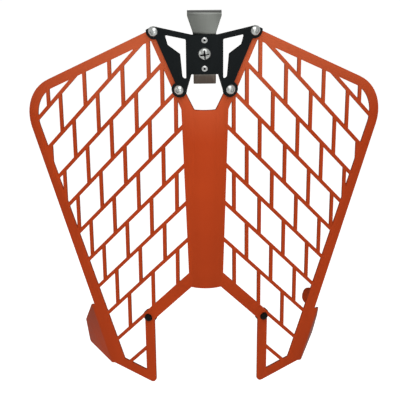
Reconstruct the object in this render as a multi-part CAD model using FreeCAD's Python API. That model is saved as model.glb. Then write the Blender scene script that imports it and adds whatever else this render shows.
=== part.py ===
import FreeCAD, Part
import math
import os

# Motorcycle headlight guard: a folded, laser-cut sheet, carried by a bolted plate and a hanger.
# Millimetres, Z up along the spine, front towards -Y. The origin is between the hook's two bolt holes.
# Wing sizes are (s, z): s runs along the wing's front face from the fold line, z is height on the spine.

# Stock
SHEET = 2.0                       # guard sheet
PLATE = 3.0                       # bracket plate
STRIP = 2.0                       # hanger strip

# Guard sheet, form
SWEEP = 24.7                      # each wing's angle back from the front plane, degrees
SPINE_RADIUS = 36.0               # front radius of the rolled spine
SPINE_TOP = 42.8                  # bottom edge of the notch
SPINE_FOOT = -158.7               # lower edge of the spine band

# Guard sheet, outline of one wing
TOP_RISE = 29.1                   # slope of the top edge, degrees
TOP_EDGE = (63.6, 116.4)          # a point on the top edge
OUTER_CORNER_S = 214.0            # where the top and side edges would meet
OUTER_CORNER_RADIUS = 48.5
SIDE_FOOT = (114.6, -279.2)       # lower end of the side edge
FLANGE_HEAD_Z = -208.0            # upper end of the flange on the side edge
LEG_INNER = 62.6                  # inner edge of the leg
LEG_WIDTH = 11.4
LEG_TIP_Z = -293.6
LEG_TIP_RADIUS = 5.0
ARM_WIDTH = 10.5                  # arm from the spine's foot to the leg
ARM_FOOT_S = 17.2                 # where the arm's lower edge leaves the spine's foot
NOTCH_HALF = 12.3                 # half width of the notch's bottom edge
NOTCH_SIDE = (20.1, 57.0)         # a point on the notch's side edge, which runs on under the plate
SHEET_LOBE_RADIUS = 5.8           # round the screw holes
SHEET_TOP_DROP = 1.0              # the lobe's top, below the plate's top edge

# Guard sheet, grille opening
TOP_RAIL = 10.0                   # width of the top rail
OPENING_CORNER_RADIUS = 38.0
SIDE_RAIL_HEAD = 10.2             # width of the side rail at its head
SIDE_RAIL_FOOT = 15.0             # and at its foot
LOW_RAIL = 12.0
SPINE_EDGE_HEAD = 25.9            # edge of the spine band at the bolted bar
SPINE_EDGE_FOOT = 19.5            # and at the arm
BAR_MARGIN = 8.0                  # from the screw line to the opening

# Grille bars
DIAGONAL_ANGLE = 48.4             # below level, running down and out
DIAGONAL_PITCH = 43.45            # measured upright
DIAGONAL_START = 268.3            # height of diagonal number 0 on the fold line
DIAGONAL_COUNT = 11
DIAGONAL_WIDTH = 3.9
UPRIGHT_PITCH = 29.55
UPRIGHT_START = 2.85
UPRIGHT_COUNT = 8
UPRIGHT_ROWS = 9                  # the rows below these, beside the legs, have no uprights
UPRIGHT_WIDTH = 3.9
UPRIGHT_LEAN = -0.0075            # sideways run for each millimetre of height
SMALLEST_CELL = 14.0              # square millimetres; a smaller cut-out is left solid

# Side flanges, bent back from the lower side edges: an ear on each side and a tongue on the right.
# Corners are (run down the fold from the flange's head, depth from the bend, corner radius).
EAR_RADIUS = 8.0                  # inside the ears' bends
LEFT_EAR_BEND = 30.0
LEFT_EAR = ((25.0, 30.0, 3.0), (56.0, 40.0, 3.0))
RIGHT_EAR_BEND = 45.0
RIGHT_EAR_HEAD = 8.3             # from here on the fold
RIGHT_EAR = ((22.0, 12.0, 5.0), (46.0, 20.0, 8.0))
TONGUE_BEND = 105.0
TONGUE_RADIUS = 1.5               # inside its bend
TONGUE_HEAD = -10.7                # from here on the fold
TONGUE_FOOT = 7.8                # to here
TONGUE_DEPTH = 18.0
TONGUE_ROUND = 8.0

# Screws that hold the plate to the wings
UPPER_SCREW = (53.7, 119.0)
LOWER_SCREW = (27.0, 62.7)
LOBE_RADIUS = 7.8                 # round them on the plate

# Bracket plate
PANEL_HALF = 12.6                 # half width of the flat middle, to the bends
PANEL_TOP = 120.1
PANEL_FOOT = 80.6
ARM_APEX = (54.9, 123.7)          # where the arm's top edge turns down along the wing's top edge
ARM_OUTER_MARGIN = 0.2            # outer edge of the arm beside the screw line
WINDOW_SIDE = 18.6                # inner edge of the window
WINDOW_TOP = 115.4
WINDOW_FOOT = 74.9
WINDOW_SLOT = 5.1                 # width of its narrow lower end
WINDOW_ELBOW = (25.9, 99.2)
WINDOW_TURN = (39.2, 106.7)
WINDOW_TIP = (42.4, 117.2)
WINDOW_ROUND = 1.2
WINDOW_END_ROUND = 2.5            # at the narrow end
WINDOW_TIP_ROUND = 2.2

# Hanger: a strip behind the plate, folded back and down at its head into a hook
HANGER_WIDTH = 22.0
HANGER_TOP_WIDTH = 33.2
HANGER_FOOT = 70.0
HOOK_TOP = 142.3                  # upper face
HOOK_DEPTH = 9.0                  # front face to rear face
HOOK_DROP = 30.0                  # rear leg, from the upper face
HOOK_RADIUS = 1.0                 # inside its bends
FLARE_HEAD = 1.0                  # straight height under the upper bend
FLARE_LENGTH = 17.5
FLARE_RADIUS = 18.0               # hollow curve at the flare's foot
HANGER_CORNER_RADIUS = 1.0
HOOK_HOLE_DIAMETER = 6.5
HOOK_HOLE_SPACING = 12.0
HOOK_HOLE_DROP = 15.0             # middle of the two, below the upper face
HOOK_LEG_WIDTH = 18.0             # hidden rear leg

# M6 button screws, which run into tapped holes in the sheet
SCREW_DIAMETER = 6.0
SCREW_LENGTH = 8.0
SCREW_HEAD = 10.5
SCREW_HEAD_HEIGHT = 3.3
SCREW_KEY = 4.0
SCREW_KEY_DEPTH = 2.0
HOLE_CLEARANCE = 0.5
THREAD_CLEARANCE = 0.1

# M6 centre screw, with a washer and a lock nut behind the hanger
CENTRE_Z = 101.3
CENTRE_LENGTH = 14.0
CENTRE_HEAD = 13.0
CENTRE_HEAD_HEIGHT = 4.0
CROSS_LENGTH = 9.0
CROSS_WIDTH = 1.6
CROSS_DEPTH = 1.7
CROSS_TURN = -6.0
WASHER_DIAMETER = 12.0
WASHER_THICKNESS = 1.2
NUT_FLATS = 10.0
NUT_HEIGHT = 6.0
NUT_HEX_SHARE = 0.7               # of the nut's height, the rest is its collar
NUT_COLLAR_SHARE = 0.9            # collar diameter over the flats

# Blind rivets
RIVET_DIAMETER = 3.2
RIVET_HEAD = 5.8
RIVET_HEAD_HEIGHT = 0.8
RIVET_TAIL = 5.0
RIVET_TAIL_LENGTH = 3.0
RIVET_BORE = 2.4
MANDREL_SINK = 1.4                # broken end of the mandrel, below the top of the rivet's head
MANDREL_HEAD = 3.0
MANDREL_HEAD_LENGTH = 1.0
RIVET_MIDDLE = 100.7              # height half way between the two
RIVET_SPREAD = 14.3               # above and below it

# Rubber bumpers
BUMPER_S = 69.6
BUMPER_Z = -208.6
BUMPER_STEM = 5.0
BUMPER_FRONT = 8.8
BUMPER_FRONT_HEIGHT = 4.2
BUMPER_REAR = 15.2
BUMPER_REAR_LENGTH = 5.0
BUMPER_REAR_CHAMFER = 0.8
BUMPER_CLEARANCE = 0.2

V = FreeCAD.Vector
NO_TURN = FreeCAD.Rotation()
UPRIGHT = FreeCAD.Rotation(V(1, 0, 0), 90)
FACING = FreeCAD.Placement(V(), UPRIGHT)
CROSSWISE = FreeCAD.Placement(V(), FreeCAD.Rotation(V(0, 1, 0), V(0, 0, 1), V(1, 0, 0), "XYZ"))
WING = FreeCAD.Placement(V(), FreeCAD.Rotation(V(0, 0, 1), SWEEP).multiply(UPRIGHT))
SWEEP_SIN = math.sin(math.radians(SWEEP))
SWEEP_COS = math.cos(math.radians(SWEEP))
DIAGONAL_SLOPE = math.tan(math.radians(DIAGONAL_ANGLE))
TOP_SLOPE = math.tan(math.radians(TOP_RISE))
OUTER_CORNER = (OUTER_CORNER_S, TOP_EDGE[1] - TOP_SLOPE * (OUTER_CORNER_S - TOP_EDGE[0]))
BEND_S = PANEL_HALF / SWEEP_COS                     # the plate's bend line, on the wing
PANEL_BACK = BEND_S * SWEEP_SIN                     # back face of the plate's flat middle
HOOK_REAR = PANEL_BACK + HOOK_DEPTH                 # rear face of the hook
RIVET_REACH = PLATE + STRIP + RIVET_TAIL_LENGTH     # a rivet's length behind its head
ORIGIN_SHIFT = V(0, -HOOK_REAR, HOOK_HOLE_DROP - HOOK_TOP)


# Outlines

def meet(a, b, c, d):
    """The point where line a-b meets line c-d."""
    rx, ry = b[0] - a[0], b[1] - a[1]
    qx, qy = d[0] - c[0], d[1] - c[1]
    t = ((c[0] - a[0]) * qy - (c[1] - a[1]) * qx) / (rx * qy - ry * qx)
    return (a[0] + t * rx, a[1] + t * ry)


def beside(a, b, distance):
    """Line a-b moved sideways, to its right as seen going from a to b."""
    run = math.hypot(b[0] - a[0], b[1] - a[1])
    nx, ny = (b[1] - a[1]) / run, -(b[0] - a[0]) / run
    return [(p[0] + nx * distance, p[1] + ny * distance) for p in (a, b)]


def outline(points):
    """A flat face from corners (x, y) or, with a rounded corner, (x, y, radius)."""
    edges = []
    starts = []
    for i, corner in enumerate(points):
        here = V(corner[0], corner[1], 0)
        before = V(points[i - 1][0], points[i - 1][1], 0)
        after = V(points[(i + 1) % len(points)][0], points[(i + 1) % len(points)][1], 0)
        radius = corner[2] if len(corner) > 2 else 0
        if radius == 0:
            starts.append((here, here, None))
            continue
        u = (before - here).normalize()
        w = (after - here).normalize()
        half = u.getAngle(w) / 2
        reach = radius / math.tan(half)
        middle = here + (u + w).normalize() * (radius / math.sin(half) - radius)
        starts.append((here + u * reach, here + w * reach, middle))
    for i, (enter, leave, middle) in enumerate(starts):
        if middle is not None:
            edges.append(Part.Arc(enter, middle, leave).toShape())
        ahead = starts[(i + 1) % len(starts)][0]
        if leave.distanceToPoint(ahead) > 1e-6:
            edges.append(Part.LineSegment(leave, ahead).toShape())
    return Part.Face(Part.Wire(edges))


def disc(at, radius):
    return Part.Face(Part.Wire(Part.makeCircle(radius, V(at[0], at[1], 0))))


def turned(profile):
    """A solid of revolution about Z from (radius, height) corners."""
    corners = [V(r, 0, z) for r, z in profile]
    return Part.Face(Part.makePolygon(corners + corners[:1])).revolve(V(), V(0, 0, 1), 360)


def dome(radius, height, base):
    """A spherical cap with its rim at height base."""
    ball = (radius ** 2 + height ** 2) / (2 * height)
    cap = Part.makeSphere(ball, V(0, 0, base + height - ball))
    return cap.common(Part.makeCylinder(radius, height, V(0, 0, base)))


def hexagon(flats, height, base):
    corners = [V(flats / math.sqrt(3) * math.cos(math.pi * k / 3),
                 flats / math.sqrt(3) * math.sin(math.pi * k / 3), base) for k in range(6)]
    return Part.Face(Part.makePolygon(corners + corners[:1])).extrude(V(0, 0, height))


def placed(shape, placement, at=(0, 0), forward=0.0):
    """A copy moved to a point of a wing or of the front plane; forward is towards the front."""
    copy = shape.copy()
    step = FreeCAD.Placement(V(at[0], at[1], forward), NO_TURN)
    copy.Placement = placement.multiply(step).multiply(copy.Placement)
    return copy


def mirrored(shape):
    return shape.mirror(V(), V(1, 0, 0))


# Guard sheet

def screw_line(margin):
    """The line through both screws on a wing, moved outwards by margin."""
    return beside(LOWER_SCREW, UPPER_SCREW, margin)


def screw_holes(clearance):
    return [disc(at, (SCREW_DIAMETER + clearance) / 2) for at in (UPPER_SCREW, LOWER_SCREW)]


def above_arm(drop):
    """All that lies above the top edges of a plate arm, once these are lowered by drop."""
    reach = 2 * LOBE_RADIUS
    head = ARM_APEX[1] + reach
    end_s = ARM_APEX[0] + reach
    bend = (BEND_S, PANEL_TOP - drop)
    apex = (ARM_APEX[0], ARM_APEX[1] - drop)
    return outline([bend, apex, (end_s, apex[1] - TOP_SLOPE * reach), (end_s, head), (BEND_S, head)])


def arm_lower_line():
    return (ARM_FOOT_S, SPINE_FOOT), (ARM_FOOT_S + 1, SPINE_FOOT - DIAGONAL_SLOPE)


def wing_outline():
    """Outer edge of one wing, from the fold line outwards, flat."""
    leg_top = meet(*arm_lower_line(), (LEG_INNER, 0), (LEG_INNER, 1))
    tip = (LEG_INNER, LEG_TIP_Z)
    notch = (NOTCH_HALF, SPINE_TOP)
    notch_head = meet(notch, NOTCH_SIDE, OUTER_CORNER, TOP_EDGE)
    face = outline([(0, SPINE_TOP), (0, SPINE_FOOT), (ARM_FOOT_S, SPINE_FOOT), leg_top,
                    tip + (LEG_TIP_RADIUS,), SIDE_FOOT, OUTER_CORNER + (OUTER_CORNER_RADIUS,),
                    notch_head, notch])
    for at in (UPPER_SCREW, LOWER_SCREW):
        face = face.fuse(disc(at, SHEET_LOBE_RADIUS))
    return face.cut(above_arm(SHEET_TOP_DROP)).removeSplitter()


def grille_opening():
    """The part of a wing that the bars cross."""
    top = beside(OUTER_CORNER, TOP_EDGE, -TOP_RAIL)
    side_head = beside(SIDE_FOOT, OUTER_CORNER, -SIDE_RAIL_HEAD)[1]
    side_foot = beside(SIDE_FOOT, OUTER_CORNER, -SIDE_RAIL_FOOT)[0]
    low = beside((LEG_INNER, LEG_TIP_Z), SIDE_FOOT, -LOW_RAIL)
    bar = screw_line(BAR_MARGIN)
    spine = ((SPINE_EDGE_HEAD, SPINE_TOP), (SPINE_EDGE_FOOT, SPINE_FOOT))
    arm = beside(*arm_lower_line(), -ARM_WIDTH)
    leg = ((LEG_INNER + LEG_WIDTH, 0), (LEG_INNER + LEG_WIDTH, 1))
    outer = meet(*top, side_head, side_foot)
    return outline([meet(*bar, *top), outer + (OPENING_CORNER_RADIUS,), meet(side_head, side_foot, *low),
                    meet(*low, *leg), meet(*leg, *arm), meet(*arm, *spine), meet(*spine, *bar)])


def grille_cells():
    """The cut-outs between the diagonals and the staggered uprights."""
    opening = grille_opening()
    edge = DIAGONAL_WIDTH / 2 / math.cos(math.radians(DIAGONAL_ANGLE))
    lean_turn = 1 + UPRIGHT_LEAN * DIAGONAL_SLOPE
    half = UPRIGHT_WIDTH / 2
    cells = []
    for row in range(DIAGONAL_COUNT):
        upper = DIAGONAL_START - row * DIAGONAL_PITCH - edge
        lower = DIAGONAL_START - (row + 1) * DIAGONAL_PITCH + edge
        first = UPRIGHT_START + (row % 2 / 2 - 1) * UPRIGHT_PITCH
        uprights = [first + column * UPRIGHT_PITCH for column in range(UPRIGHT_COUNT + 2)]
        if row >= UPRIGHT_ROWS:
            uprights = [0, OUTER_CORNER_S]
        for left, right in zip(uprights, uprights[1:]):
            corners = []
            for start, height in ((left + half, upper), (right - half, upper),
                                  (right - half, lower), (left + half, lower)):
                s = (start + UPRIGHT_LEAN * height) / lean_turn
                corners.append((s, height - DIAGONAL_SLOPE * s))
            for cell in outline(corners).common(opening).Faces:
                if cell.Area > SMALLEST_CELL:
                    cells.append(cell)
    return cells


def section(front, back):
    """The flat section between two lines of an arc (three points) and a straight run (to a fourth)."""
    edges = [Part.Arc(*front[:3]), Part.LineSegment(front[2], front[3]),
             Part.LineSegment(front[3], back[3]), Part.LineSegment(back[3], back[2]),
             Part.Arc(back[2], back[1], back[0]), Part.LineSegment(back[0], front[0])]
    return Part.Face(Part.Wire([edge.toShape() for edge in edges]))


def wing_blank():
    """One half of the sheet, rolled at the spine, before it is cut to its outline."""
    tangent = SPINE_RADIUS * math.tan(math.radians(SWEEP))
    centre_y = SPINE_RADIUS / SWEEP_COS
    lines = []
    for depth in (0, SHEET):
        radius = SPINE_RADIUS - depth
        arc = [V(radius * math.sin(t), centre_y - radius * math.cos(t), 0)
               for t in (0, math.radians(SWEEP / 2), math.radians(SWEEP))]
        lines.append(arc + [arc[2] + V(SWEEP_COS, SWEEP_SIN, 0) * (OUTER_CORNER_S - tangent)])
    face = section(*lines)
    face.translate(V(0, 0, LEG_TIP_Z))
    return face.extrude(V(0, 0, UPPER_SCREW[1] + LOBE_RADIUS - LEG_TIP_Z))


def flange_length():
    """Length of the fold, along the side edge."""
    slope = (OUTER_CORNER[0] - SIDE_FOOT[0]) / (OUTER_CORNER[1] - SIDE_FOOT[1])
    return (FLANGE_HEAD_Z - SIDE_FOOT[1]) * math.hypot(1, slope)


def flange(bend, inner, inset, head, foot, corners):
    """A bend of that angle and inner radius between two points of the fold, which may be set in from
    the side edge, then a flat flap with the given far corners."""
    angle = math.radians(bend)
    depth = max(corner[1] for corner in corners)
    outer = inner + SHEET
    lines = []
    for radius in (outer, inner):
        arc = [V(radius * math.sin(t), -head, radius * math.cos(t) - outer)
               for t in (0, angle / 2, angle)]
        lines.append(arc + [arc[2] + V(math.cos(angle), 0, -math.sin(angle)) * depth])
    strip = section(*lines).extrude(V(0, head - foot, 0))
    reach = 2 * (depth + outer)
    flap = outline([(0, -head)] + [(deep, -run, radius) for run, deep, radius in corners]
                   + [(0, -foot), (-reach, -foot), (-reach, -head)])
    bent = FreeCAD.Placement(V(outer * math.sin(angle), 0, outer * math.cos(angle) - outer),
                             FreeCAD.Rotation(V(0, 1, 0), bend))
    shape = strip.common(placed(flap.extrude(V(0, 0, 2 * reach)), bent, forward=-reach))
    lean = math.atan2(OUTER_CORNER[0] - SIDE_FOOT[0], OUTER_CORNER[1] - SIDE_FOOT[1])
    fold_head = V(SIDE_FOOT[0] + flange_length() * math.sin(lean) - inset, FLANGE_HEAD_Z, 0)
    fold = FreeCAD.Placement(fold_head, FreeCAD.Rotation(V(0, 0, 1), -math.degrees(lean)))
    return placed(shape, WING.multiply(fold))


def guard_sheet():
    face = wing_outline().cut(Part.makeCompound(grille_cells()))
    holes = screw_holes(THREAD_CLEARANCE)
    holes.append(disc((BUMPER_S, BUMPER_Z), BUMPER_STEM / 2 + BUMPER_CLEARANCE))
    face = face.cut(Part.makeCompound(holes))
    cutter = placed(face.extrude(V(0, 0, -2 * SPINE_RADIUS)), WING, forward=SPINE_RADIUS)
    half = wing_blank().common(cutter)
    foot = flange_length()
    tongue = flange(TONGUE_BEND, TONGUE_RADIUS, TONGUE_RADIUS + SHEET, TONGUE_HEAD, TONGUE_FOOT,
                    ((TONGUE_HEAD, TONGUE_DEPTH, TONGUE_ROUND), (TONGUE_FOOT, TONGUE_DEPTH, TONGUE_ROUND)))
    right_ear = flange(RIGHT_EAR_BEND, EAR_RADIUS, 0, RIGHT_EAR_HEAD, foot, RIGHT_EAR)
    left_ear = flange(LEFT_EAR_BEND, EAR_RADIUS, 0, 0, foot, LEFT_EAR)
    right = half.fuse([tongue, right_ear])
    return right.fuse(mirrored(half.fuse(left_ear))).removeSplitter()


# Bracket plate

def plate_arm():
    """One arm, flat on its wing, with its window and two holes."""
    outer_low, outer_high = screw_line(ARM_OUTER_MARGIN)
    face = outline([(BEND_S, PANEL_TOP), ARM_APEX, outer_high, outer_low,
                    (LOWER_SCREW[0] - LOBE_RADIUS, LOWER_SCREW[1]), (BEND_S, PANEL_FOOT)])
    for at in (UPPER_SCREW, LOWER_SCREW):
        face = face.fuse(disc(at, LOBE_RADIUS))
    face = face.cut(above_arm(0))
    window = outline([(WINDOW_SIDE, WINDOW_TOP, WINDOW_ROUND),
                      (WINDOW_SIDE, WINDOW_FOOT, WINDOW_END_ROUND),
                      (WINDOW_SIDE + WINDOW_SLOT, WINDOW_FOOT, WINDOW_END_ROUND),
                      WINDOW_ELBOW + (WINDOW_ROUND,), WINDOW_TURN + (WINDOW_ROUND,),
                      WINDOW_TIP + (WINDOW_TIP_ROUND,)])
    face = face.removeSplitter().cut(Part.makeCompound([window] + screw_holes(HOLE_CLEARANCE)))
    return placed(face.extrude(V(0, 0, PLATE)), WING)


def plate_bend():
    """The outside of the bend between the flat middle and an arm."""
    wedge = Part.makeCylinder(PLATE, PANEL_TOP - PANEL_FOOT, V(PANEL_HALF, PANEL_BACK, PANEL_FOOT),
                              V(0, 0, 1), SWEEP)
    wedge.rotate(V(PANEL_HALF, PANEL_BACK, 0), V(0, 0, 1), -90)
    return wedge


def centre_holes(depth):
    """Holes for the centre screw and the two rivets, from the plate's front face to the given depth."""
    holes = []
    for z, diameter in ((CENTRE_Z, SCREW_DIAMETER + HOLE_CLEARANCE),
                        (RIVET_MIDDLE + RIVET_SPREAD, RIVET_DIAMETER),
                        (RIVET_MIDDLE - RIVET_SPREAD, RIVET_DIAMETER)):
        holes.append(Part.makeCylinder(diameter / 2, depth, V(0, PANEL_BACK - PLATE, z), V(0, 1, 0)))
    return Part.makeCompound(holes)


def bracket_plate():
    shape = Part.makeBox(2 * PANEL_HALF, PLATE, PANEL_TOP - PANEL_FOOT,
                         V(-PANEL_HALF, PANEL_BACK - PLATE, PANEL_FOOT))
    side = plate_arm().fuse(plate_bend())
    shape = shape.fuse([side, mirrored(side)]).removeSplitter()
    return shape.cut(centre_holes(PLATE))


# Hanger

def hanger_bracket():
    """The strip with its flared head and the hook, whose hidden rear leg takes two bolts."""
    front = PANEL_BACK
    outer = HOOK_RADIUS + STRIP
    rear_foot = HOOK_TOP - HOOK_DROP
    shape = outline([(front, HANGER_FOOT), (front + STRIP, HANGER_FOOT),
                     (front + STRIP, HOOK_TOP - STRIP, HOOK_RADIUS),
                     (HOOK_REAR - STRIP, HOOK_TOP - STRIP, HOOK_RADIUS), (HOOK_REAR - STRIP, rear_foot),
                     (HOOK_REAR, rear_foot), (HOOK_REAR, HOOK_TOP, outer), (front, HOOK_TOP, outer)])
    shape = placed(shape.extrude(V(0, 0, HANGER_TOP_WIDTH)), CROSSWISE, forward=-HANGER_TOP_WIDTH / 2)
    half = HANGER_WIDTH / 2
    wide = HANGER_TOP_WIDTH / 2
    flare = HOOK_TOP - outer - FLARE_HEAD
    neck = flare - FLARE_LENGTH
    corner = HANGER_CORNER_RADIUS
    strip = outline([(-half, HANGER_FOOT, corner), (half, HANGER_FOOT, corner), (half, neck, FLARE_RADIUS),
                     (wide, flare), (wide, HOOK_TOP), (-wide, HOOK_TOP), (-wide, flare),
                     (-half, neck, FLARE_RADIUS)])
    strip = placed(strip.extrude(V(0, 0, -outer)), FACING, forward=-front)
    leg_half = HOOK_LEG_WIDTH / 2
    shoulder = HOOK_TOP - outer
    leg = outline([(-leg_half, rear_foot, corner), (leg_half, rear_foot, corner),
                   (leg_half, shoulder, corner), (wide, shoulder), (wide, HOOK_TOP), (-wide, HOOK_TOP),
                   (-wide, shoulder), (-leg_half, shoulder, corner)])
    leg = placed(leg.extrude(V(0, 0, outer - HOOK_DEPTH)), FACING, forward=-front - outer)
    shape = shape.common(strip.fuse(leg)).removeSplitter().cut(centre_holes(PLATE + STRIP))
    for side in (-1, 1):
        hole = Part.makeCylinder(HOOK_HOLE_DIAMETER / 2, STRIP)
        at = (0, HOOK_TOP - HOOK_HOLE_DROP + side * HOOK_HOLE_SPACING / 2)
        shape = shape.cut(placed(hole, FACING, at, -HOOK_REAR))
    return shape


# Fasteners, each made upright with its seat at height 0 and its head towards the front

def shank(length):
    return Part.makeCylinder(SCREW_DIAMETER / 2, length, V(0, 0, -length))


def button_screw():
    head = dome(SCREW_HEAD / 2, SCREW_HEAD_HEIGHT, 0)
    head = head.cut(hexagon(SCREW_KEY, SCREW_KEY_DEPTH, SCREW_HEAD_HEIGHT - SCREW_KEY_DEPTH))
    return head.fuse(shank(SCREW_LENGTH))


def washer():
    rear = V(0, 0, -WASHER_THICKNESS)
    ring = Part.makeCylinder(WASHER_DIAMETER / 2, WASHER_THICKNESS, rear)
    return ring.cut(Part.makeCylinder((SCREW_DIAMETER + HOLE_CLEARANCE) / 2, WASHER_THICKNESS, rear))


def lock_nut():
    """A hexagon with chamfered corners and a round collar at its rear."""
    hex_height = NUT_HEIGHT * NUT_HEX_SHARE
    flat = NUT_FLATS / 2
    corner = NUT_FLATS / math.sqrt(3)
    crown = turned([(0, 0), (flat, 0), (corner, (flat - corner) / 2), (corner, -hex_height),
                    (0, -hex_height)])
    body = hexagon(NUT_FLATS, hex_height, -hex_height).common(crown)
    rear = V(0, 0, -NUT_HEIGHT)
    body = body.fuse(Part.makeCylinder(flat * NUT_COLLAR_SHARE, NUT_HEIGHT, rear))
    return body.cut(Part.makeCylinder((SCREW_DIAMETER + THREAD_CLEARANCE) / 2, NUT_HEIGHT, rear))


def centre_screw():
    head = dome(CENTRE_HEAD / 2, CENTRE_HEAD_HEIGHT, 0)
    for turn in (0, 90):
        slot = Part.makeBox(CROSS_LENGTH, CROSS_WIDTH, CROSS_DEPTH,
                            V(-CROSS_LENGTH / 2, -CROSS_WIDTH / 2, CENTRE_HEAD_HEIGHT - CROSS_DEPTH))
        slot.rotate(V(), V(0, 0, 1), turn + CROSS_TURN)
        head = head.cut(slot)
    return head.fuse(shank(CENTRE_LENGTH))


def blind_rivet():
    """A domed head, a tube through plate and strip, and the tail that is drawn wide behind them."""
    head = dome(RIVET_HEAD / 2, RIVET_HEAD_HEIGHT, 0)
    rear = V(0, 0, -RIVET_REACH)
    tube = Part.makeCylinder(RIVET_DIAMETER / 2, RIVET_REACH, rear)
    tail = Part.makeCylinder(RIVET_TAIL / 2, RIVET_TAIL_LENGTH, rear)
    body = head.fuse([tube, tail]).removeSplitter()
    return body.cut(Part.makeCylinder(RIVET_BORE / 2, RIVET_REACH + RIVET_HEAD_HEIGHT, rear))


def rivet_mandrel():
    """The pin that stays in a set rivet, broken off below the head."""
    length = RIVET_REACH + RIVET_HEAD_HEIGHT - MANDREL_SINK
    pin = Part.makeCylinder(RIVET_BORE / 2, length, V(0, 0, -RIVET_REACH))
    end = V(0, 0, -RIVET_REACH - MANDREL_HEAD_LENGTH)
    return pin.fuse(Part.makeCylinder(MANDREL_HEAD / 2, MANDREL_HEAD_LENGTH, end)).removeSplitter()


def bumper():
    """A rubber button: a small dome in front, a stem through the sheet, a thick foot behind."""
    front = dome(BUMPER_FRONT / 2, BUMPER_FRONT_HEIGHT, 0)
    stem = Part.makeCylinder(BUMPER_STEM / 2, SHEET, V(0, 0, -SHEET))
    radius = BUMPER_REAR / 2
    rear = -SHEET - BUMPER_REAR_LENGTH
    foot = turned([(0, -SHEET), (radius, -SHEET), (radius, rear + BUMPER_REAR_CHAMFER),
                   (radius - BUMPER_REAR_CHAMFER, rear), (0, rear)])
    return front.fuse([stem, foot]).removeSplitter()


# Export

def export(node, shape):
    shape = shape.copy()
    shape.translate(ORIGIN_SHIFT)
    solids = shape.Solids
    if len(solids) == 1:
        shape = solids[0]
    shape.exportStep("parts/" + node + ".step")
    print(node, len(solids), round(shape.Volume, 1), shape.isValid())


os.makedirs("parts", exist_ok=True)
export("guard_sheet", guard_sheet())
export("bracket_plate", bracket_plate())
export("hanger_bracket", hanger_bracket())

for row, at in (("upper", UPPER_SCREW), ("lower", LOWER_SCREW)):
    right = placed(button_screw(), WING, at, PLATE)
    export(row + "_right_screw", right)
    export(row + "_left_screw", mirrored(right))

CENTRE = (0, CENTRE_Z)
BEHIND = -PANEL_BACK - STRIP
export("centre_screw", placed(centre_screw(), FACING, CENTRE, PLATE - PANEL_BACK))
export("centre_washer", placed(washer(), FACING, CENTRE, BEHIND))
export("centre_nut", placed(lock_nut(), FACING, CENTRE, BEHIND - WASHER_THICKNESS))
for row, side in (("upper", 1), ("lower", -1)):
    at = (0, RIVET_MIDDLE + side * RIVET_SPREAD)
    export(row + "_rivet", placed(blind_rivet(), FACING, at, PLATE - PANEL_BACK))
    export(row + "_rivet_mandrel", placed(rivet_mandrel(), FACING, at, PLATE - PANEL_BACK))

right = placed(bumper(), WING, (BUMPER_S, BUMPER_Z))
export("right_bumper", right)
export("left_bumper", mirrored(right))
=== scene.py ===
import math

import bmesh
import bpy
import numpy as np
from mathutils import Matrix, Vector


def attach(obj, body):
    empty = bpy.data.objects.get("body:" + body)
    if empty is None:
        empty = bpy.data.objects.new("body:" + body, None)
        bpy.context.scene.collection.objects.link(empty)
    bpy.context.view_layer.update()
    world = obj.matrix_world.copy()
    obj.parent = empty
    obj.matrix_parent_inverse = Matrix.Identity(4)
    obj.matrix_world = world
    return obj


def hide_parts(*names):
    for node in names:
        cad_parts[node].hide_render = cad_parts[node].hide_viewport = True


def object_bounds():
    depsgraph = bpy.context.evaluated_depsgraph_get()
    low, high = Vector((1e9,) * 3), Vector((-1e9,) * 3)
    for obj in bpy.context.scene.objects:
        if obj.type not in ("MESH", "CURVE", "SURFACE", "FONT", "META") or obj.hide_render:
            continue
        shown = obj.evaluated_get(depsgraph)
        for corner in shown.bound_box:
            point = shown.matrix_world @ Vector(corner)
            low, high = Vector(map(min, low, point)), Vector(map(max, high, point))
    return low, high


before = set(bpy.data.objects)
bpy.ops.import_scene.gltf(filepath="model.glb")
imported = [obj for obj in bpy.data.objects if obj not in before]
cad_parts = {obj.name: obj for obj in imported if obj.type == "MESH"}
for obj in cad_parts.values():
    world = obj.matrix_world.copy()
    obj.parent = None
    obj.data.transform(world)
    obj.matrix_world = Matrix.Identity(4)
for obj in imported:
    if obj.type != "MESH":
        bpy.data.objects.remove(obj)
cad_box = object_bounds()
scene = bpy.context.scene
scene.view_settings.view_transform = "Standard"
MM = 0.001

# Guard sheet
# One laser-cut steel sheet, 2 mm thick, rolled at the spine and bent back at its lower sides.
# It is powder coated after cutting: the cut edges are softened, and painted shade darkens them.

EDGE_ROUND = {"guard_sheet": 0.25, "bracket_plate": 0.55, "hanger_bracket": 0.3}   # millimetres
SHARP_ANGLE = 40                  # degrees between faces, from which an edge counts as a cut edge
TOP_LIGHT_HEIGHTS = (-0.12, -0.03)          # heights, metres, between which painted light makes the coat paler upwards
SIDE_SHADE_NORMAL = (0.25, 0.6)        # part of the normal along Y, from full painted shade to none
COAT_GLOSS = 0.015                # specular level of the satin skin
DRIFT_MM = 70                     # width of the tint's drift


def linear(hex_code):
    """An sRGB hex colour as linear red, green, blue and alpha."""
    srgb = np.array([int(hex_code[i:i + 2], 16) for i in (1, 3, 5)]) / 255
    low = srgb / 12.92
    high = ((srgb + 0.055) / 1.055) ** 2.4
    return [float(v) for v in np.where(srgb <= 0.04045, low, high)] + [1.0]


def add_node(material, kind, links=(), **settings):
    """A node of one kind. Settings are input sockets by name or number, or the node's own properties,
    and each link is (this node's input, the other node, the other node's output)."""
    tree = material.node_tree
    made = tree.nodes.new(kind)
    inputs = settings.pop("inputs", {})
    for name, value in settings.items():
        setattr(made, name, value)
    for name, value in inputs.items():
        made.inputs[name].default_value = value
    for name, source, output in links:
        tree.links.new(source.outputs[output], made.inputs[name])
    return made


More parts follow.
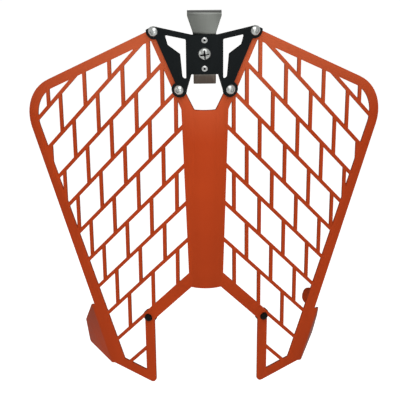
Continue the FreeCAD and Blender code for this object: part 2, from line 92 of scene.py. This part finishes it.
def new_material(name, **surface):
    """A material with one principled shader, its sockets set by name, and its object coordinates."""
    material = bpy.data.materials.new(name)
    material.use_nodes = True
    shader = material.node_tree.nodes["Principled BSDF"]
    for socket, value in surface.items():
        shader.inputs[socket.replace("_", " ")].default_value = value
    place = add_node(material, "ShaderNodeTexCoord")
    return material, shader, place


def link(material, source, output, target, socket):
    material.node_tree.links.new(source.outputs[output], target.inputs[socket])


def per_metre(millimetres):
    """The texture scale that makes one feature of that size, with coordinates in metres."""
    return 1 / (millimetres * MM)


def powder_coat(name, pale, deep, side_shade, top_light, roughness, peel_mm, peel_height_mm):
    """Baked polyester powder: a satin skin with the slight waviness of orange peel, and a tint that
    drifts by a few percent over a hand's width where the powder lies thicker. Painted shade darkens
    the cut edges and the surfaces that turn away from front and back, read from the part of the normal
    that lies along Y. Painted light makes the coat paler near the top."""
    material, shader, place = new_material(name, Roughness=roughness, Specular_IOR_Level=COAT_GLOSS)
    drift = add_node(material, "ShaderNodeTexNoise", [("Vector", place, "Object")],
                     inputs={"Scale": per_metre(DRIFT_MM), "Detail": 2.0})
    tint = add_node(material, "ShaderNodeMix", [("Factor", drift, "Fac")], data_type="RGBA",
                    inputs={6: linear(pale), 7: linear(deep)})
    height = add_node(material, "ShaderNodeSeparateXYZ", [("Vector", place, "Object")])
    # Painted light: the coat is painted paler toward the top, standing in for the overhead lamp.
    lit_top_share = add_node(material, "ShaderNodeMapRange", [("Value", height, "Z")],
                        inputs={"From Min": TOP_LIGHT_HEIGHTS[0], "From Max": TOP_LIGHT_HEIGHTS[1]})
    with_lit_top = add_node(material, "ShaderNodeMix", [("Factor", lit_top_share, "Result"), (6, tint, 2)],
                     data_type="RGBA", inputs={7: linear(top_light)})
    # Painted shade: where the normal turns away from Y, the coat is painted darker, standing in for the
    # shade on cut edges and turned sides.
    normal = add_node(material, "ShaderNodeSeparateXYZ", [("Vector", place, "Normal")])
    facing = add_node(material, "ShaderNodeMath", [(0, normal, "Y")], operation="ABSOLUTE")
    shaded_side_share = add_node(material, "ShaderNodeMapRange", [("Value", facing, "Value")],
                     inputs={"From Min": SIDE_SHADE_NORMAL[0], "From Max": SIDE_SHADE_NORMAL[1],
                             "To Min": 1.0, "To Max": 0.0})
    coat = add_node(material, "ShaderNodeMix", [("Factor", shaded_side_share, "Result"), (6, with_lit_top, 2)],
                    data_type="RGBA", inputs={7: linear(side_shade)})
    link(material, coat, 2, shader, "Base Color")
    peel = add_node(material, "ShaderNodeTexNoise", [("Vector", place, "Object")],
                    inputs={"Scale": per_metre(peel_mm), "Detail": 3.0, "Roughness": 0.55})
    bump = add_node(material, "ShaderNodeBump", [("Height", peel, "Fac")],
                    inputs={"Strength": 1.0, "Distance": peel_height_mm * MM})
    link(material, bump, "Normal", shader, "Normal")
    spread = add_node(material, "ShaderNodeMapRange", [("Value", peel, "Fac")],
                      inputs={"To Min": roughness - 0.05, "To Max": roughness + 0.07})
    link(material, spread, "Result", shader, "Roughness")
    return material


def settle(piece, node):
    """Put a finished piece in the scene, in place of a node's solid."""
    scene.collection.objects.link(piece)
    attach(piece, "root")
    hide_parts(node)


def softened(node, material):
    """A copy of a node's solid, its loose triangles merged and its cut edges rounded."""
    mesh = bpy.data.meshes.new(node + "_finished")
    shape = bmesh.new()
    shape.from_mesh(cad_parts[node].data)
    bmesh.ops.remove_doubles(shape, verts=shape.verts, dist=0.001 * MM)
    bmesh.ops.dissolve_limit(shape, angle_limit=math.radians(0.2), verts=shape.verts, edges=shape.edges)
    shape.to_mesh(mesh)
    shape.free()
    mesh.materials.clear()
    mesh.materials.append(material)
    mesh.shade_smooth()
    piece = bpy.data.objects.new(node + "_finished", mesh)
    bevel = piece.modifiers.new("cut edges", "BEVEL")
    bevel.width = EDGE_ROUND[node] * MM
    bevel.segments = 2
    bevel.limit_method = "ANGLE"
    bevel.angle_limit = math.radians(SHARP_ANGLE)
    bevel.harden_normals = True
    settle(piece, node)


# The side colour is painted shade on cut edges and turned sides, and the top colour is painted light.
orange = powder_coat("satin_orange_powder_coat", pale="#B9441D", deep="#AB3D1B", side_shade="#7C3420",
                     top_light="#C25A37", roughness=0.46, peel_mm=1.6, peel_height_mm=0.02)
softened("guard_sheet", orange)

# Bracket plate
# A 3 mm plate, bent at both sides of its flat middle so that its arms lie on the two wings.
# It is laser cut with a window in each arm, and powder coated in fine-textured black.

# On the black coat the painted side shade is darker, and the painted top colour nearly matches the coat.
black = powder_coat("fine_black_powder_coat", pale="#1B1E1F", deep="#151919", side_shade="#101314",
                    top_light="#191C1D", roughness=0.5, peel_mm=0.9, peel_height_mm=0.02)
softened("bracket_plate", black)

# Hanger bracket
# A 2 mm stainless strip behind the plate, flared at its head and folded into a hook.
# It is brushed lengthwise before bending; painted shade darkens the fold, and painted shade with a warm
# painted reflection of the orange sheet darkens its foot.

FOOT_SHADE_HEIGHTS = (-0.050, -0.044)      # heights, metres, between which the foot's painted shade and warm reflection fade upwards
FOLD_SHADE_HEIGHTS = (0.0128, 0.0142)      # and above which painted shade darkens the fold

brushed, brushed_shader, brushed_place = new_material("brushed_stainless", Metallic=1.0, Roughness=0.36)
grain_lie = add_node(brushed, "ShaderNodeMapping", [("Vector", brushed_place, "Object")],
                     inputs={"Scale": (per_metre(0.5), per_metre(0.5), per_metre(30))})
grain = add_node(brushed, "ShaderNodeTexNoise", [("Vector", grain_lie, "Vector")],
                 inputs={"Scale": 1.0, "Detail": 4.0, "Roughness": 0.6})
grain_tint = add_node(brushed, "ShaderNodeMix", [("Factor", grain, "Fac")], data_type="RGBA",
                      inputs={6: linear("#535551"), 7: linear("#60625F")})
level = add_node(brushed, "ShaderNodeSeparateXYZ", [("Vector", brushed_place, "Object")])
# Painted shade and a painted warm reflection of the orange sheet darken the foot below the plate.
foot_shade_share = add_node(brushed, "ShaderNodeMapRange", [("Value", level, "Z")],
                      inputs={"From Min": FOOT_SHADE_HEIGHTS[0], "From Max": FOOT_SHADE_HEIGHTS[1],
                              "To Min": 1.0, "To Max": 0.0})
warm_shade_tint = add_node(brushed, "ShaderNodeMix", [("Factor", grain, "Fac")], data_type="RGBA",
                  inputs={6: linear("#2F2A27"), 7: linear("#504740")})
with_foot_shade = add_node(brushed, "ShaderNodeMix",
                     [("Factor", foot_shade_share, "Result"), (6, grain_tint, 2), (7, warm_shade_tint, 2)],
                     data_type="RGBA")
# Painted shade: the fold at the top is painted a darker grey, standing in for the dark it reflects.
fold_shade_share = add_node(brushed, "ShaderNodeMapRange", [("Value", level, "Z")],
                      inputs={"From Min": FOLD_SHADE_HEIGHTS[0], "From Max": FOLD_SHADE_HEIGHTS[1],
                              "To Min": 0.0, "To Max": 1.0})
with_fold_shade = add_node(brushed, "ShaderNodeMix", [("Factor", fold_shade_share, "Result"), (6, with_foot_shade, 2)],
                     data_type="RGBA", inputs={7: linear("#4B4C4A")})
link(brushed, with_fold_shade, 2, brushed_shader, "Base Color")
grain_bump = add_node(brushed, "ShaderNodeBump", [("Height", grain, "Fac")],
                      inputs={"Strength": 0.6, "Distance": 0.015 * MM})
link(brushed, grain_bump, "Normal", brushed_shader, "Normal")
softened("hanger_bracket", brushed)

# Rivets and their mandrels
# Two blind rivets join plate and hanger: a domed head, a tube, and a tail drawn wide behind.
# The mandrel's broken end stays in the tube, rough and a little below the head; it is painted near black
# as the shade in the bore.

AROUND = 192                      # points round a turned piece, a multiple of six for the hexagons
FRONT = np.array((0.0, -1.0, 0.0))
RIVET_BEHIND = 8.0                # millimetres of rivet behind its seat
MANDREL_BEHIND = 9.0
RIVET_HEAD = (2.9, 0.8)           # radius and height
RIVET_BORE = 1.2
RIVET_TUBE = 1.6
RIVET_GRIP = 5.0                  # plate and hanger together
RIVET_TAIL = 2.5                  # radius of the drawn tail
MANDREL_TOP = -0.6                # broken end, from the seat
MANDREL_KNOB = 1.5                # radius of its head behind the tail
turn = np.linspace(0, 2 * np.pi, AROUND, endpoint=False)


def cap(radius, height, at):
    """Height of a spherical cap, of that rim radius and height, at a distance from its axis."""
    ball = (radius ** 2 + height ** 2) / (2 * height)
    return height - ball + np.sqrt(ball ** 2 - at ** 2)


def seat_of(node, front, behind):
    """A turned solid's seat: from the middle of its rear end, forwards by the length behind the seat."""
    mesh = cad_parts[node].data
    points = np.empty(3 * len(mesh.vertices))
    mesh.vertices.foreach_get("co", points)
    points = points.reshape(-1, 3)
    depth = points @ front
    rear = points[depth < depth.min() + 0.001 * MM]
    return (rear.min(axis=0) + rear.max(axis=0)) / 2 + front * behind * MM


def turned(node, front, behind, rows, material, sharp_angle=32):
    """A closed skin of rows round an axis. Each row is (radius, height) in millimetres, either of them
    a number or an array over the turn, so a row's points are (radius cos turn, radius sin turn, height).
    Rows of no radius close as poles, and a first row that is also the last closes a ring."""
    radius = np.array([np.broadcast_to(row[0], turn.shape) for row in rows])
    height = np.array([np.broadcast_to(row[1], turn.shape) for row in rows])
    up = np.array((0.0, 0.0, 1.0))
    side = np.cross(up, front)
    points = ((radius * np.cos(turn))[..., None] * side + (radius * np.sin(turn))[..., None] * up
              + height[..., None] * front) * MM + seat_of(node, front, behind)
    index = np.arange(points.shape[0] * AROUND).reshape(-1, AROUND)
    ahead = np.roll(index, -1, axis=1)
    quads = np.stack([index[:-1], ahead[:-1], ahead[1:], index[1:]], axis=-1).reshape(-1, 4)
    mesh = bpy.data.meshes.new(node + "_finished")
    mesh.from_pydata(points.reshape(-1, 3).tolist(), [], quads.tolist())
    shape = bmesh.new()
    shape.from_mesh(mesh)
    bmesh.ops.remove_doubles(shape, verts=shape.verts, dist=0.001 * MM)
    bmesh.ops.recalc_face_normals(shape, faces=shape.faces)
    shape.to_mesh(mesh)
    shape.free()
    mesh.materials.append(material)
    mesh.shade_smooth()
    mesh.set_sharp_from_angle(angle=math.radians(sharp_angle))
    settle(bpy.data.objects.new(node + "_finished", mesh), node)
    return mesh


def bright_steel(name, pale, deep, roughness):
    """Machined stainless: close turning marks in the height of the surface and a slight uneven tint."""
    material, shader, place = new_material(name, Metallic=1.0, Roughness=roughness)
    cloud = add_node(material, "ShaderNodeTexNoise", [("Vector", place, "Object")],
                     inputs={"Scale": per_metre(2.5), "Detail": 4.0})
    tint = add_node(material, "ShaderNodeMix", [("Factor", cloud, "Fac")], data_type="RGBA",
                    inputs={6: linear(pale), 7: linear(deep)})
    link(material, tint, 2, shader, "Base Color")
    spread = add_node(material, "ShaderNodeMapRange", [("Value", cloud, "Fac")],
                      inputs={"To Min": roughness - 0.06, "To Max": roughness + 0.1})
    link(material, spread, "Result", shader, "Roughness")
    marks = add_node(material, "ShaderNodeTexNoise", [("Vector", place, "Object")],
                     inputs={"Scale": per_metre(0.25), "Detail": 2.0})
    bump = add_node(material, "ShaderNodeBump", [("Height", marks, "Fac")],
                    inputs={"Strength": 0.5, "Distance": 0.004 * MM})
    link(material, bump, "Normal", shader, "Normal")
    return material


rivet_steel = bright_steel("rivet_stainless", "#A6A7A6", "#8D8E8D", 0.32)
# Painted shade: the mandrels and the faces of the cross recess are painted near black, standing in for the
# shade in the bore and the recess.
recess_shade_steel = bright_steel("painted_shade_steel", "#131313", "#0B0B0B", 0.6)
dome_steps = np.linspace(RIVET_BORE + 0.15, RIVET_HEAD[0], 12)
rivet_rows = [(RIVET_BORE, cap(*RIVET_HEAD, RIVET_BORE) - 0.15)]
rivet_rows += [(r, cap(*RIVET_HEAD, r)) for r in dome_steps]
rivet_rows += [(RIVET_TUBE, 0), (RIVET_TUBE, -RIVET_GRIP), (RIVET_TAIL - 0.2, -RIVET_GRIP - 0.05),
               (RIVET_TAIL, -RIVET_GRIP - 0.4), (RIVET_TAIL, 0.7 - RIVET_BEHIND),
               (RIVET_TAIL - 0.3, 0.1 - RIVET_BEHIND), (RIVET_TUBE + 0.1, -RIVET_BEHIND),
               (RIVET_BORE, -RIVET_BEHIND), rivet_rows[0]]
mandrel_rows = [(0, MANDREL_TOP), (0.45, MANDREL_TOP + 0.1 * np.sin(3 * turn)),
                (0.9, MANDREL_TOP + 0.08 * np.sin(2 * turn + 1)), (RIVET_BORE, MANDREL_TOP - 0.1),
                (RIVET_BORE, -RIVET_BEHIND), (MANDREL_KNOB, -RIVET_BEHIND),
                (MANDREL_KNOB, 0.4 - MANDREL_BEHIND), (MANDREL_KNOB - 0.4, -MANDREL_BEHIND),
                (0, -MANDREL_BEHIND)]
for row in ("upper", "lower"):
    turned(row + "_rivet", FRONT, RIVET_BEHIND, rivet_rows, rivet_steel)
    turned(row + "_rivet_mandrel", FRONT, MANDREL_BEHIND, mandrel_rows, recess_shade_steel)

# Centre screw, washer and nut
# An M6 pan head with a cross recess goes through plate and hanger into a lock nut on a washer.
# The head is turned and the cross is pressed into it cold; the thread is rolled.

PITCH = 1.0                       # M6 coarse thread
THREAD_RADIUS = 3.0
THREAD_DEPTH = 0.61
NECK_RADIUS = 3.2                 # under a screw's head
CENTRE_HEAD = (6.5, 4.0)
CENTRE_BEHIND = 14.0
CROSS = (4.5, 0.8, 1.7)           # half length, half width and depth of each arm
CROSS_TURN = math.radians(-6)
CROSS_SOFT = 0.3                  # width of its rounded edges
WASHER = (3.25, 6.0, 1.2)         # bore, rim and thickness
NUT_HALF = 5.0                    # half across flats
NUT_HEX = 4.2                     # height of the hexagon
NUT_HEIGHT = 6.0
NUT_COLLAR = 4.5
NUT_CHAMFER = 1.73                # radius gained for each millimetre of the corners' 30 degree chamfer
NUT_BORE = 3.05


def ramp(value):
    """0 below 0, 1 above 1, smooth between."""
    share = np.clip(value, 0, 1)
    return share * share * (3 - 2 * share)


def hexagon(half_flats):
    """Distance from the axis to a hexagon's side, over the turn."""
    return half_flats / np.cos(turn % (np.pi / 3) - np.pi / 6)


def thread(length):
    """Rows of a rolled thread: the radius falls and rises once for each pitch along the axis and round
    the turn, with flat crests, and fades out under the head and at the chamfered end."""
    rows = [(THREAD_RADIUS, -0.3)]
    for depth in np.arange(0.5, length - 0.7, PITCH / 8):
        wave = np.abs(2 * ((depth / PITCH - turn / (2 * np.pi)) % 1) - 1)
        fade = ramp((depth - 0.5) / PITCH) * ramp((length - 0.7 - depth) / PITCH)
        rows.append((THREAD_RADIUS - THREAD_DEPTH * fade * np.clip(1.25 * wave - 0.12, 0, 1), -depth))
    return rows + [(THREAD_RADIUS, -(length - 0.6)), (THREAD_RADIUS - 0.6, -length), (0, -length)]


def cross_recess(at):
    """How much of the cross's depth is cut at a distance from the axis, over the turn."""
    u = np.abs(at * np.cos(turn - CROSS_TURN))
    v = np.abs(at * np.sin(turn - CROSS_TURN))
    arms = [ramp((CROSS[0] - a) / CROSS_SOFT + 0.5) * ramp((CROSS[1] - b) / CROSS_SOFT + 0.5)
            for a, b in ((u, v), (v, u))]
    return np.maximum(*arms)


screw_steel = bright_steel("polished_stainless", "#A0A2A0", "#8C8E8C", 0.2)
centre_rows = []
for r in np.linspace(0, CENTRE_HEAD[0], 56):
    crown = cap(*CENTRE_HEAD, r)
    centre_rows.append((r, crown - max(crown - CENTRE_HEAD[1] + CROSS[2], 0) * cross_recess(r)))
centre_rows += [(NECK_RADIUS, 0)] + thread(CENTRE_BEHIND)
centre_mesh = turned("centre_screw", FRONT, CENTRE_BEHIND, centre_rows, screw_steel)

# The faces of the cross are painted near black, as the shade in the recess.
centre_mesh.materials.append(recess_shade_steel)
centre_seat = seat_of("centre_screw", FRONT, CENTRE_BEHIND)
for face in centre_mesh.polygons:
    across = np.array(face.center) - centre_seat
    lie = math.atan2(across[2], -across[0]) - CROSS_TURN
    reach = math.hypot(across[0], across[2]) / MM
    arm = min(abs(reach * math.cos(lie)), abs(reach * math.sin(lie)))
    if across @ FRONT > 0 and reach < CROSS[0] and arm < CROSS[1]:
        face.material_index = 1

bore, rim, thick = WASHER
washer_rows = [(bore, -0.1), (bore + 0.1, 0), (rim - 0.2, 0), (rim, -0.2), (rim, 0.15 - thick),
               (rim - 0.15, -thick), (bore + 0.1, -thick), (bore, 0.1 - thick), (bore, -0.1)]
turned("centre_washer", FRONT, thick, washer_rows, screw_steel)

nut_rows = [(NUT_BORE, -0.4), (NUT_BORE + 0.4, 0)]
nut_rows += [(np.minimum(hexagon(NUT_HALF), NUT_HALF - 0.1 + NUT_CHAMFER * d), -d)
             for d in np.linspace(0, 0.55, 6)]
nut_rows += [(hexagon(NUT_HALF), 0.2 - NUT_HEX), (hexagon(NUT_HALF) - 0.25, -NUT_HEX),
             (NUT_COLLAR + 0.15, -NUT_HEX), (NUT_COLLAR, -NUT_HEX - 0.2), (NUT_COLLAR, 0.5 - NUT_HEIGHT),
             (NUT_COLLAR - 0.15, 0.15 - NUT_HEIGHT), (NUT_COLLAR - 0.5, -NUT_HEIGHT),
             (NUT_BORE + 0.3, -NUT_HEIGHT), (NUT_BORE, 0.3 - NUT_HEIGHT), nut_rows[0]]
turned("centre_nut", FRONT, NUT_HEIGHT, nut_rows, screw_steel)

# Button screws
# Four M6 button heads hold the plate's arms against the wings, in tapped holes in the sheet.
# The head is a low polished dome with a hexagon socket, and the rolled thread ends behind the sheet.

SWEEP = math.radians(24.7)        # each wing's angle back from the front plane
BUTTON_HEAD = (5.25, 3.3)
BUTTON_BEHIND = 8.0
SOCKET_HALF = 2.0
SOCKET_DEPTH = 2.0
WING_FRONT = {"right": np.array((math.sin(SWEEP), -math.cos(SWEEP), 0.0)),
              "left": np.array((-math.sin(SWEEP), -math.cos(SWEEP), 0.0))}

socket = hexagon(SOCKET_HALF)
socket_floor = BUTTON_HEAD[1] - SOCKET_DEPTH
lip = socket + 0.15
button_rows = [(0, socket_floor - 0.5), (socket - 0.05, socket_floor), (socket, socket_floor + 0.1),
               (socket, cap(*BUTTON_HEAD, socket) - 0.15)]
for share in np.linspace(0, 1, 18):
    r = lip + (BUTTON_HEAD[0] - lip) * share
    button_rows.append((r, cap(*BUTTON_HEAD, r)))
button_rows += [(NECK_RADIUS, 0)] + thread(BUTTON_BEHIND)
for row in ("upper", "lower"):
    for side, front in WING_FRONT.items():
        turned(f"{row}_{side}_screw", front, BUTTON_BEHIND, button_rows, screw_steel)

# Rubber bumpers
# A moulded button on each leg: a small dome in front, a stem pulled through the sheet, a foot behind.
# The rubber is solid black with a fine matt skin from the mould.

BUMPER_BEHIND = 7.0
BUMPER_FRONT = (4.4, 4.2)
BUMPER_STEM = 2.5
SHEET = 2.0
BUMPER_FOOT = 7.6
FOOT_ROUND = 0.8

rubber, rubber_shader, rubber_place = new_material("black_rubber", Roughness=0.62, Specular_IOR_Level=0.06)
bloom = add_node(rubber, "ShaderNodeTexNoise", [("Vector", rubber_place, "Object")],
                 inputs={"Scale": per_metre(4), "Detail": 3.0})
bloom_tint = add_node(rubber, "ShaderNodeMix", [("Factor", bloom, "Fac")], data_type="RGBA",
                      inputs={6: linear("#070605"), 7: linear("#0D0B09")})
link(rubber, bloom_tint, 2, rubber_shader, "Base Color")
skin = add_node(rubber, "ShaderNodeTexNoise", [("Vector", rubber_place, "Object")],
                inputs={"Scale": per_metre(0.3), "Detail": 2.0})
skin_bump = add_node(rubber, "ShaderNodeBump", [("Height", skin, "Fac")],
                     inputs={"Strength": 0.6, "Distance": 0.02 * MM})
link(rubber, skin_bump, "Normal", rubber_shader, "Normal")
bumper_rows = [(r, cap(*BUMPER_FRONT, r)) for r in np.linspace(0, BUMPER_FRONT[0] - 0.02, 18)]
bumper_rows += [(BUMPER_FRONT[0] - 0.1, 0), (BUMPER_STEM, 0), (BUMPER_STEM, -SHEET),
                (BUMPER_FOOT - 0.3, -SHEET), (BUMPER_FOOT, -SHEET - 0.3)]
bumper_rows += [(BUMPER_FOOT - FOOT_ROUND + FOOT_ROUND * math.cos(a),
                 FOOT_ROUND - BUMPER_BEHIND - FOOT_ROUND * math.sin(a))
                for a in np.linspace(0, math.pi / 2, 9)]
bumper_rows.append((0, -BUMPER_BEHIND))
for side, front in WING_FRONT.items():
    turned(side + "_bumper", front, BUMPER_BEHIND, bumper_rows, rubber, sharp_angle=50)

# Floor, light and camera
# A white floor under the guard, three soft lamps, and the photograph's viewpoint.

FLOOR_DROP = 0.12                 # floor below the leg tips, metres
FLOOR_HALF = 6.0
CAMERA_PLACE = (-0.0133, -1.0752, 0.3202)
CAMERA_TURN = (64.732, 0.477, -0.632)
FOCAL_PIXELS = 1150
IMAGE_WIDTH = 400
SENSOR_MM = 36


def in_view(material):
    """1 for rays from the camera, a mirroring surface or a clear one, 0 for rays of plain light."""
    path = add_node(material, "ShaderNodeLightPath")
    seen = add_node(material, "ShaderNodeMath", [(0, path, "Is Camera Ray"), (1, path, "Is Glossy Ray")],
                    operation="MAXIMUM")
    return add_node(material, "ShaderNodeMath", [(0, seen, "Value"), (1, path, "Is Transmission Ray")],
                    operation="MAXIMUM")


floor_mesh = bpy.data.meshes.new("floor")
floor_z = cad_box[0].z - FLOOR_DROP
floor_mesh.from_pydata([(-FLOOR_HALF, -FLOOR_HALF, floor_z), (FLOOR_HALF, -FLOOR_HALF, floor_z),
                        (FLOOR_HALF, FLOOR_HALF, floor_z), (-FLOOR_HALF, FLOOR_HALF, floor_z)],
                       [], [(0, 1, 2, 3)])
floor = bpy.data.objects.new("floor", floor_mesh)
scene.collection.objects.link(floor)
white, white_shader, _ = new_material("white_floor", Base_Color=linear("#F4F4F2"), Roughness=0.9)
seen = in_view(white)
glow = add_node(white, "ShaderNodeEmission", inputs={"Color": (1, 1, 1, 1), "Strength": 0.75})
both = add_node(white, "ShaderNodeAddShader", [(0, white_shader, "BSDF"), (1, glow, "Emission")])
pick = add_node(white, "ShaderNodeMixShader",
                [("Fac", seen, "Value"), (1, white_shader, "BSDF"), (2, both, "Shader")])
link(white, pick, "Shader", white.node_tree.nodes["Material Output"], "Surface")
floor_mesh.materials.append(white)

world = bpy.data.worlds.new("studio")
world.use_nodes = True
scene.world = world
sky = world.node_tree.nodes["Background"]
sky.inputs["Color"].default_value = (1, 1, 1, 1)
sky_strength = add_node(world, "ShaderNodeMapRange", [("Value", in_view(world), "Value")],
                        inputs={"To Min": 0.24, "To Max": 1.0})
link(world, sky_strength, "Result", sky, "Strength")


def area_lamp(name, place, aim, width, power):
    """A square soft lamp at a place, turned to face a point."""
    data = bpy.data.lights.new(name, "AREA")
    data.size = width
    data.energy = power
    lamp = bpy.data.objects.new(name, data)
    lamp.location = place
    lamp.rotation_euler = (Vector(aim) - Vector(place)).to_track_quat("-Z", "Y").to_euler()
    scene.collection.objects.link(lamp)


MIDDLE = (0, 0, -0.2)
area_lamp("overhead_softbox", (0.03, -0.55, 0.6), MIDDLE, 0.7, 6.4)
area_lamp("front_fill", (0.25, -1.4, -0.1), MIDDLE, 0.8, 4.8)
area_lamp("side_fill", (-1.3, -0.3, 0.1), MIDDLE, 0.8, 2.2)

camera_data = bpy.data.cameras.new("camera")
camera_data.sensor_width = SENSOR_MM
camera_data.lens = FOCAL_PIXELS / IMAGE_WIDTH * SENSOR_MM
camera = bpy.data.objects.new("camera", camera_data)
camera.location = CAMERA_PLACE
camera.rotation_euler = [math.radians(angle) for angle in CAMERA_TURN]
scene.collection.objects.link(camera)
scene.camera = camera
